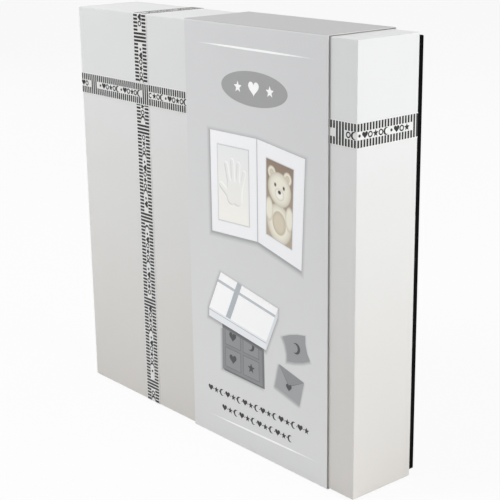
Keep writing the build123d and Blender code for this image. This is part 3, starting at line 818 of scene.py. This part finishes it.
def folded_path(corners, steps=5):
    """Points along straight runs with rounded corners."""
    corners = [Vector(corner) for corner in corners]
    points = [corners[0]]
    for before, corner, after in zip(corners, corners[1:], corners[2:]):
        back = (before - corner).normalized()
        on = (after - corner).normalized()
        half_turn = back.angle(on) / 2
        if abs(half_turn - pi / 2) < 0.15:  # too slight a bend to need rounding
            points.append(corner)
            continue
        reach = RIBBON_TURN / tan(half_turn)
        centre = corner + (back + on).normalized() * (RIBBON_TURN / sin(half_turn))
        first, last = corner + back * reach - centre, corner + on * reach - centre
        points += [centre + first.slerp(last, i / steps).normalized() * RIBBON_TURN
                   for i in range(steps + 1)]
    return points + [corners[-1]]


def ribbon_strip(name, path, across):
    """The satin ground of a ribbon: a thin strip with rolled selvedges along its outer path."""
    half = RIBBON_WIDE / 2
    # from the underside of one edge over its rolled selvedge to the flat ground, then mirrored
    section = [(-half, -RIBBON_THICK), (-half, -0.08), (-half + 0.25, 0.0), (-half + 0.9, -0.03)]
    section += [(-side, lift) for side, lift in reversed(section)]
    ring = len(section)
    verts, faces, along = [], [], [0.0]
    for i, point in enumerate(path):
        ahead = path[min(i + 1, len(path) - 1)] - path[max(i - 1, 0)]
        up = ahead.cross(across).normalized()
        verts += [point + across * side + up * lift for side, lift in section]
        if i:
            along.append(along[-1] + (point - path[i - 1]).length)
            faces += [((i - 1) * ring + k, (i - 1) * ring + (k + 1) % ring,
                       i * ring + (k + 1) % ring, i * ring + k) for k in range(ring)]
    faces += [tuple(range(ring)), tuple(range(len(verts) - ring, len(verts)))]
    piece = new_piece(name, verts, faces, satin_white)
    face_outwards(piece.data)
    flat = piece.data.uv_layers.new(name="along")
    for corner in piece.data.loops:
        i, k = divmod(corner.vertex_index, ring)
        flat.data[corner.index].uv = (along[i] * MM, section[k][0] * MM)
    return piece


def flat_motif(name, outline, hole=(), half=0.025):
    """A thin raised shape that lies flat, closed all round, used as one woven motif."""
    loops = [loop for loop in (outline, hole) if loop]
    points = [point for loop in loops for point in loop]
    count = len(points)
    top = tessellate_polygon([[Vector((x, z, 0)) for x, z in loop] for loop in loops])
    faces = [tuple(face) for face in top] + [tuple(count + i for i in face[::-1]) for face in top]
    start = 0
    for loop in loops:
        ring = [start + i for i in range(len(loop))]
        faces += [(a, b, b + count, a + count) for a, b in zip(ring, ring[1:] + ring[:1])]
        start += len(loop)
    verts = [(x, z, half) for x, z in points] + [(x, z, -half) for x, z in points]
    piece = new_piece(name, verts, faces, satin_black)
    face_outwards(piece.data)
    return piece


def start_geometry(name, inputs):
    """A new geometry tree with the named inputs, their identifiers and what they give."""
    tree = bpy.data.node_groups.new(name, "GeometryNodeTree")
    names = {}
    for label, kind, value in inputs:
        made = tree.interface.new_socket(name=label, in_out="INPUT",
                                         socket_type="NodeSocket" + kind)
        names[label] = made.identifier
        if value is not None:
            made.default_value = value
    tree.interface.new_socket(name="Geometry", in_out="OUTPUT", socket_type="NodeSocketGeometry")
    return tree, names, dict(add_node(tree, "NodeGroupInput").outputs.items())


def close_geometry(tree, shapes, finish):
    """Makes a mesh of the instances, gives it its material and hands it out."""
    real = add_node(tree, "GeometryNodeRealizeInstances", {0: shapes})
    dressed = add_node(tree, "GeometryNodeSetMaterial", {"Geometry": real, "Material": finish})
    add_node(tree, "NodeGroupOutput", {0: dressed})


def weave_tree():
    """Bars and motifs set out along a curve, lying flat on the ribbon. Bars come in groups, each
    of which starts with a few plain ones from edge to edge; the others leave the middle free."""
    tree, names, found = start_geometry("ribbon_floats", (
        ("Path", "Geometry", None), ("Bar pitch", "Float", 2.4 * MM),
        ("Bar width", "Float", 1.45 * MM), ("Ribbon width", "Float", 15.0 * MM),
        ("Middle band", "Float", 4.9 * MM), ("Float height", "Float", 0.05 * MM),
        ("Motif pitch", "Float", 4.3 * MM), ("Group", "Int", 26), ("Plain bars", "Int", 3),
        ("Across", "Vector", None), ("Motifs", "Collection", None), ("Thread", "Material", None)))
    found["Number"] = add_node(tree, "GeometryNodeInputIndex")
    for name, operation, *values in (
        ("woven width", "SUBTRACT", "Ribbon width", 1.2 * MM),
        ("edge", "MULTIPLY", "woven width", 0.5),
        ("inner", "MULTIPLY", "Middle band", 0.5),
        ("short", "SUBTRACT", "edge", "inner"),
        ("both", "ADD", "edge", "inner"),
        ("near middle", "MULTIPLY", "both", 0.5),
        ("far middle", "MULTIPLY", "near middle", -1.0),
        ("bar step", "MODULO", "Number", "Group"),
        ("plain", "LESS_THAN", "bar step", "Plain bars"),
        ("woven", "SUBTRACT", 1.0, "plain"),
        ("way", "MULTIPLY", "Number", "Motif pitch"),
        ("way in bars", "DIVIDE", "way", "Bar pitch"),
        ("motif step", "MODULO", "way in bars", "Group"),
        ("motifs from", "ADD", "Plain bars", 0.4),
        ("motifs to", "SUBTRACT", "Group", 1.2),
        ("late", "GREATER_THAN", "motif step", "motifs from"),
        ("early", "LESS_THAN", "motif step", "motifs to"),
        ("shown", "MULTIPLY", "late", "early"),
    ):
        found[name] = add_node(tree, "Math", {i: found.get(v, v) for i, v in enumerate(values)},
                               operation=operation)

    even = add_node(tree, "GeometryNodeResampleCurve", {"Curve": found["Path"], "Length": 0.4 * MM},
                    mode="LENGTH")
    for pitch in ("Bar pitch", "Motif pitch"):
        spots = add_node(tree, "GeometryNodeCurveToPoints",
                         {"Curve": even, "Length": found[pitch]}, mode="LENGTH").outputs
        along = add_node(tree, "FunctionNodeAlignRotationToVector", {"Vector": spots["Tangent"]},
                         axis="X")
        found[pitch + " turn"] = add_node(tree, "FunctionNodeAlignRotationToVector",
                                          {"Rotation": along, "Vector": found["Across"]},
                                          axis="Y", pivot_axis="X")
        found[pitch + " spots"] = spots["Points"]

    for name, width in (("short bar", "short"), ("full bar", "woven width")):
        size = add_node(tree, "CombineXYZ", {0: found["Bar width"], 1: found[width],
                                             2: found["Float height"]})
        found[name] = add_node(tree, "GeometryNodeMeshCube", {"Size": size})
    pair, joined = (add_node(tree, "GeometryNodeJoinGeometry") for _ in range(2))
    for side in ("near middle", "far middle"):
        place = add_node(tree, "CombineXYZ", {1: found[side]})
        moved = add_node(tree, "GeometryNodeTransform",
                         {"Geometry": found["short bar"], "Translation": place})
        tree.links.new(moved.outputs[0], pair.inputs[0])
    motifs = add_node(tree, "GeometryNodeCollectionInfo",
                      {"Collection": found["Motifs"], "Separate Children": True,
                       "Reset Children": True})
    for pitch, chosen, shape, more in (
        ("Bar pitch", "woven", pair, {}), ("Bar pitch", "plain", found["full bar"], {}),
        ("Motif pitch", "shown", motifs,
         {"Pick Instance": True, "Instance Index": found["Number"]}),
    ):
        laid = add_node(tree, "GeometryNodeInstanceOnPoints",
                        {"Points": found[pitch + " spots"], "Selection": found[chosen],
                         "Instance": shape, "Rotation": found[pitch + " turn"], **more})
        tree.links.new(laid.outputs[0], joined.inputs[0])
    close_geometry(tree, joined, found["Thread"])
    return tree, names


def woven_floats(name, path, across):
    """The floats of one ribbon, laid out by the weave along its path."""
    line = bpy.data.curves.new(f"{name}_line", "CURVE")
    line.dimensions = "3D"
    run = line.splines.new("POLY")
    run.points.add(len(path) - 1)
    for point, place in zip(run.points, path):
        point.co = (*(place * MM), 1.0)
    carrier = bpy.data.objects.new(f"{name}_line", line)
    bpy.context.scene.collection.objects.link(carrier)
    weave = carrier.modifiers.new("floats", "NODES")
    weave.node_group = floats
    for label, value in (("Across", across), ("Motifs", motifs), ("Thread", satin_black)):
        weave[float_names[label]] = value
    piece = bpy.data.objects.new(f"{name}_floats", shaped_mesh(carrier))
    bpy.context.scene.collection.objects.link(piece)
    bpy.data.objects.remove(carrier)
    return piece


motifs = bpy.data.collections.new("woven_motifs")
RING = (circle(0, 0, 1.9, 20), circle(0, 0, 1.1, 14))
for number, loops in enumerate(((heart(0, 0, 4.6, 24),), RING, (star(0, 0, 4.6),), RING,
                                (moon(0, 0, 4.6, 12),), (circle(0, 0, 0.9, 14),)), 1):
    motif = flat_motif(f"motif_{number}", *loops)
    bpy.context.scene.collection.objects.unlink(motif)
    motifs.objects.link(motif)

outer, climbed = upright_low.y, upright_low.y - RIBBON_THICK
upright_x = (upright_low.x + upright_high.x) / 2
across_z = (across_low.z + across_high.z) / 2
upright_path = folded_path([
    (upright_x, upright_high.y, upright_high.z), (upright_x, outer, upright_high.z),
    (upright_x, outer, upright_low.z), (upright_x, upright_high.y, upright_low.z)])
across_path = folded_path([(x, y, across_z) for x, y in (
    (across_low.x, across_high.y), (across_low.x, outer), (upright_low.x - RAMP, outer),
    (upright_low.x, climbed), (upright_high.x, climbed), (upright_high.x + RAMP, outer),
    (across_high.x, outer), (across_high.x, across_high.y))])

RIBBONS = (("ribbon_upright", upright_path, Vector((1, 0, 0))),
           ("ribbon_across", across_path, Vector((0, 0, 1))))
for name, path, across in RIBBONS:
    strip = ribbon_strip(f"{name}_satin", path, across)
    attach(strip, "lid")
    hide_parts(name)

END_MARGIN = 0.015  # part of the last run that is left plain, so that no bar passes the cut end
floats, float_names = weave_tree()
for name, path, across in RIBBONS:
    path = [path[0].lerp(path[1], END_MARGIN), *path[1:-1], path[-1].lerp(path[-2], END_MARGIN)]
    piece = woven_floats(name, path, across)
    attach(piece, "lid")
for motif in list(motifs.objects):
    bpy.data.objects.remove(motif)
bpy.data.collections.remove(motifs)


# Inside the box: pressed clay, the picture behind the mat, printed icons, screws and rivets

PALM_BELOW = 8.0  # the palm's middle, below the middle of the clay
PRESSED = 1.892  # how deep the hand lies below the rolled face
COVERED = 6.0  # what the rails cover of the clay
ROLLED = 0.3  # how far the rolled face lies below the rim that the hand pushed up


def pressed_clay(columns=150, rows=230):
    """The clay slab as a fine net over its face, gently uneven, sunk where the hand went in."""
    low, high = box_mm("clay_slab")
    palm_x, palm_z = (low.x + high.x) / 2, (low.z + high.z) / 2 - PALM_BELOW
    verts = []
    for row in range(rows + 1):
        z = low.z + (high.z - low.z) * row / rows
        for column in range(columns + 1):
            x = low.x + (high.x - low.x) * column / columns
            inward = min(x - low.x, high.x - x, z - low.z, high.z - z)
            waves = sin(0.23 * x + 0.9 * sin(0.11 * z)) * sin(0.19 * z + 0.7 * sin(0.13 * x))
            sunk = ROLLED + 0.07 * waves + PRESSED * hand_depth(x - palm_x, z - palm_z)
            verts.append((x, low.y + max(0.0, sunk * held((inward - COVERED) / 3.0)), z))
    faces = net_faces(columns, rows)
    face_count, wide = len(faces), columns + 1
    rim = [*range(columns), *(r * wide + columns for r in range(rows)),
           *(rows * wide + c for c in range(columns, 0, -1)),
           *(r * wide for r in range(rows, 0, -1))]
    back, count = len(verts), len(rim)
    verts += [(verts[i][0], high.y, verts[i][2]) for i in rim]
    faces += [(rim[(i + 1) % count], rim[i], back + i, back + (i + 1) % count)
              for i in range(count)]
    faces.append(list(range(back + count - 1, back - 1, -1)))
    piece = new_piece("pressed_clay", verts, faces, clay)
    piece.data.polygons.foreach_set("use_smooth", [i < face_count for i in range(len(faces))])
    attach(piece, "base")
    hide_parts("clay_slab")


pressed_clay()

# the picture, as large as the mat's window; it faces the back while the frame is shut
low, high = box_mm("photo_picture")
picture_middle, picture_face = (low + high) / 2, high.y
picture = Print(lambda x, z, lift: (picture_middle.x + x, picture_face + lift,
                                    picture_middle.z + z), side=1)
SEEN_X, SEEN_Z = 69.8 / 2, 109.8 / 2
picture.grid([(-SEEN_X, -SEEN_Z), (SEEN_X, -SEEN_Z), (SEEN_X, SEEN_Z), (-SEEN_X, SEEN_Z)],
             140, 220, plush_tone, 1)
picture.finish("picture_print", photo_ink, "photo_leaf", "photo_print")

# a small icon on the floor of each compartment that holds nothing else
TRAY_FLOOR = box_mm("divider_long")[1].y
CELL_STEP = 68.225
low, high = box_mm("base_lining")
tray_z = (low.z + high.z) / 2
floor_print = Print(lambda x, z, lift: (x, TRAY_FLOOR - lift, z))
for side, row, motif, size in ((-1, -1.5, star, 24), (-1, -0.5, heart, 24), (-1, 0.5, moon, 26),
                               (-1, 1.5, star, 24), (1, -1.5, moon, 26), (1, 1.5, heart, 24)):
    floor_print.shape(motif(side * 67.5, tray_z + row * CELL_STEP, size), "#5C5D60")
floor_print.finish("tray_floor_print", liner_ink, "base", "grey_paper")

# a heart on the envelope's flap, and a moon that follows the round of the pillow box
CARTON_INK = "#6B6C70"
low, high = box_mm("keepsake_envelope")
envelope_face = low.y
envelope_print = Print(lambda x, z, lift: (x, envelope_face - lift, z))
envelope_print.shape(heart((low.x + high.x) / 2, (low.z + high.z) / 2 + 5.0, 11.0), CARTON_INK)
envelope_print.finish("envelope_print", carton_ink, "base", "kraft")

low, high = box_mm("keepsake_pillow_box")
pillow_middle, pillow_half = (low + high) / 2, (high - low) / 2
PILLOW_ROUND = (pillow_half.z ** 2 + pillow_half.y ** 2) / (2 * pillow_half.y)
pillow_print = Print(lambda x, z, lift: (
    pillow_middle.x + x,
    pillow_middle.y - pillow_half.y - lift + PILLOW_ROUND - sqrt(PILLOW_ROUND ** 2 - z ** 2),
    pillow_middle.z + z))
for dx, motif, size in ((-24.0, star, 8.0), (0.0, moon, 15.0), (24.0, star, 8.0)):
    for strip_low in range(-9, 9):
        strip = clipped(motif(0.0, 0.0, size), strip_low, strip_low + 1)
        if strip:
            pillow_print.shape([(dx + x, z) for x, z in strip], CARTON_INK)
pillow_print.finish("pillow_print", carton_ink, "base", "kraft")


# Screw heads with a slot, and domed rivets: turned shapes laid out on their fastening points

def turned_form(name, profile, finish, slot=None, count=40):
    """A shape turned about Y from (radius, depth) pairs, its outermost face at depth 0.
    A slot is given as its half width and depth, and is sawn across that face."""
    verts, rings, faces = [], [], []
    for radius, depth in profile:
        points = circle(0, 0, radius, count) if radius else [(0, 0)]
        rings.append([len(verts) + i for i in range(len(points))])
        verts += [(x, depth, z) for x, z in points]
    for first, second in zip(rings, rings[1:]):
        for i in range(count):
            on = (i + 1) % count
            corners = dict.fromkeys((first[i % len(first)], first[on % len(first)],
                                     second[on % len(second)], second[i % len(second)]))
            faces.append(list(corners))
    piece = new_piece(name, verts, faces, finish)
    face_outwards(piece.data)
    if slot:
        half, deep = slot
        saw = new_piece("saw", [(x, y, z) for x in (-half, half) for y in (-deep, deep)
                                for z in (-4.0, 4.0)],
                        [(0, 1, 3, 2), (4, 6, 7, 5), (0, 4, 5, 1), (2, 3, 7, 6), (0, 2, 6, 4),
                         (1, 5, 7, 3)], finish)
        cut = piece.modifiers.new("slot", "BOOLEAN")
        cut.operation, cut.object, cut.solver = "DIFFERENCE", saw, "EXACT"
        sawn = shaped_mesh(piece)
        piece.modifiers.clear()
        piece.data = sawn
        bpy.data.objects.remove(saw)
        sawn.materials.clear()
        sawn.materials.append(finish)
    return piece


def fastening_tree():
    """One turned shape on every point, turned about Y by an angle of its own."""
    tree, names, given = start_geometry("fastenings", (
        ("Points", "Geometry", None), ("Form", "Object", None), ("Seed", "Int", 3),
        ("Finish", "Material", None)))
    form = add_node(tree, "GeometryNodeObjectInfo", {"Object": given["Form"]})
    angle = add_node(tree, "FunctionNodeRandomValue", {2: 0.0, 3: pi, "Seed": given["Seed"]},
                     data_type="FLOAT")
    turn = add_node(tree, "CombineXYZ", {1: angle})
    laid = add_node(tree, "GeometryNodeInstanceOnPoints",
                    {"Points": given["Points"], "Instance": form.outputs["Geometry"],
                     "Rotation": turn})
    close_geometry(tree, laid, given["Finish"])
    return tree, names


fastenings, fastening_names = fastening_tree()


def fasten(name, node, form, points, finish, body, seed):
    """Lays a turned shape on the points and lets the result stand for the plain solids."""
    holder = new_piece(name, points, [], finish)
    laying = holder.modifiers.new("fastenings", "NODES")
    laying.node_group = fastenings
    for label, value in (("Form", form), ("Seed", seed), ("Finish", finish)):
        laying[fastening_names[label]] = value
    laid = shaped_mesh(holder)
    holder.modifiers.clear()
    holder.data = laid
    laid.polygons.foreach_set("use_smooth", [abs(p.normal.y) < 0.94 for p in laid.polygons])
    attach(holder, body)
    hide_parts(node)
    bpy.data.objects.remove(form)


SCREW_PROFILE = ((0, 0.05), (1.6, 0.05), (1.74, 0.13), (0.98, 0.9), (0.98, 6.2), (0.25, 6.95),
                 (0, 7))
RIVET_PROFILE = ((0, 0), (1.2, 0.03), (2.3, 0.14), (2.95, 0.32), (3.2, 0.55), (3.18, 0.6),
                 (1.5, 0.6), (1.5, 6.75), (0, 6.75))
RIVET_RADIUS = 3.2
SCREW_SLOT = (0.33, 0.6)
HINGE_X = -37.5
SCREW_HEIGHTS = (50.15, 70.15, 160.15, 180.15)
# The print half's screws look to the front and its rivets to the back; the photo half's, shut
# upon it, the other way round
for half, body, inward in (("print", "base", 1), ("photo", "photo_leaf", -1)):
    low, high = box_mm("hinge_screws_" + half)
    level = low.y if inward > 0 else high.y
    screw = turned_form("screw_form_" + half, [(r, d * inward) for r, d in SCREW_PROFILE], brass,
                        SCREW_SLOT)
    fasten("screws_" + half, "hinge_screws_" + half, screw,
           [(HINGE_X, level, z) for z in SCREW_HEIGHTS], brass, body, 3)
    low, high = box_mm(half + "_button_rivets")
    level = high.y if inward > 0 else low.y
    rivet = turned_form("rivet_form_" + half, [(r, -d * inward) for r, d in RIVET_PROFILE], nickel)
    fasten("rivets_" + half, half + "_button_rivets", rivet,
           [(x, level, (low.z + high.z) / 2) for x in (low.x + RIVET_RADIUS,
                                                       high.x - RIVET_RADIUS)],
           nickel, body, 5)


# Camera, as the photograph was taken

eye = bpy.data.cameras.new("photo_camera")
eye.sensor_width = 36.0
eye.lens = 90.784
camera = bpy.data.objects.new("photo_camera", eye)
camera.location = (0.633337, -0.522838, 0.366779)
camera.rotation_euler = Euler([radians(a) for a in (73.5672, 0.7796, 49.6571)], "XYZ")
bpy.context.scene.collection.objects.link(camera)
bpy.context.scene.camera = camera


# Light: large soft boxes, the brighter one beside the box on its right; lengths are in metres

def soft_box(name, place, aim, size, power, glares=True):
    """A large square lamp that faces a point; a fill lamp isn't mirrored in glossy paper."""
    lamp = bpy.data.lights.new(name, "AREA")
    lamp.shape = "SQUARE"
    lamp.size = size
    lamp.energy = power
    holder = bpy.data.objects.new(name, lamp)
    holder.location = place
    holder.rotation_euler = (Vector(aim) - Vector(place)).to_track_quat("-Z", "Y").to_euler()
    holder.visible_glossy = glares
    bpy.context.scene.collection.objects.link(holder)


soft_box("side_soft_box", (1.5, 0.25, 0.75), (0.1, 0.0, 0.16), 0.9, 17.3)
soft_box("front_soft_box", (-0.5, -0.75, 1.015), (-0.05, 0.0, 0.22), 0.6, 10.2)
soft_box("back_soft_box", (0.4, 1.7, 0.7), (0.0, 0.0, 0.14), 1.0, 10.3, glares=False)
soft_box("left_soft_box", (-1.7, -0.1, 0.6), (0.0, 0.0, 0.14), 1.0, 8.0, glares=False)

# The room: white where it is seen, mirrored or looked through to, and dim as a light
world = bpy.data.worlds.new("studio")
bpy.context.scene.world = world
world.use_nodes = True
air = world.node_tree
air.nodes.clear()
rays = add_node(air, "LightPath").outputs
seen = rays["Is Camera Ray"]
for other in ("Is Glossy Ray", "Is Transmission Ray"):
    seen = add_node(air, "Math", {0: seen, 1: rays[other]}, operation="MAXIMUM")
dim = add_node(air, "Background", {"Color": linear("#F2F4F6"), "Strength": 0.228})
white = add_node(air, "Background", {"Color": linear("#FFFFFF"), "Strength": 1.0})
sky = add_node(air, "MixShader", {0: seen, 1: dim, 2: white})
add_node(air, "OutputWorld", {"Surface": sky})

# White studio floor: matt, and glowing a little to the eye, so that it melts into the room and
# only the object's own shadow is left on it
floor_finish, tree, _ = start_material("white_studio_floor")
matt = add_node(tree, "BsdfDiffuse", {"Color": linear("#F2F2F2")})
glow = add_node(tree, "Emission", {"Color": linear("#FFFFFF"), "Strength": 0.985})
share = add_node(tree, "Math", {0: add_node(tree, "LightPath").outputs["Is Camera Ray"], 1: 0.94},
                 operation="MULTIPLY")
melted = add_node(tree, "MixShader", {0: share, 1: matt, 2: glow})
add_node(tree, "OutputMaterial", {"Surface": melted})
FAR, BELOW = 6000, -0.4  # the floor's reach, and how far it lies below the box's foot
floor = new_piece("studio_floor", [(x * FAR, y * FAR, BELOW)
                                   for x, y in ((-1, -1), (1, -1), (1, 1), (-1, 1))],
                  [(0, 1, 2, 3)], floor_finish)

bpy.context.scene.view_settings.view_transform = "Standard"
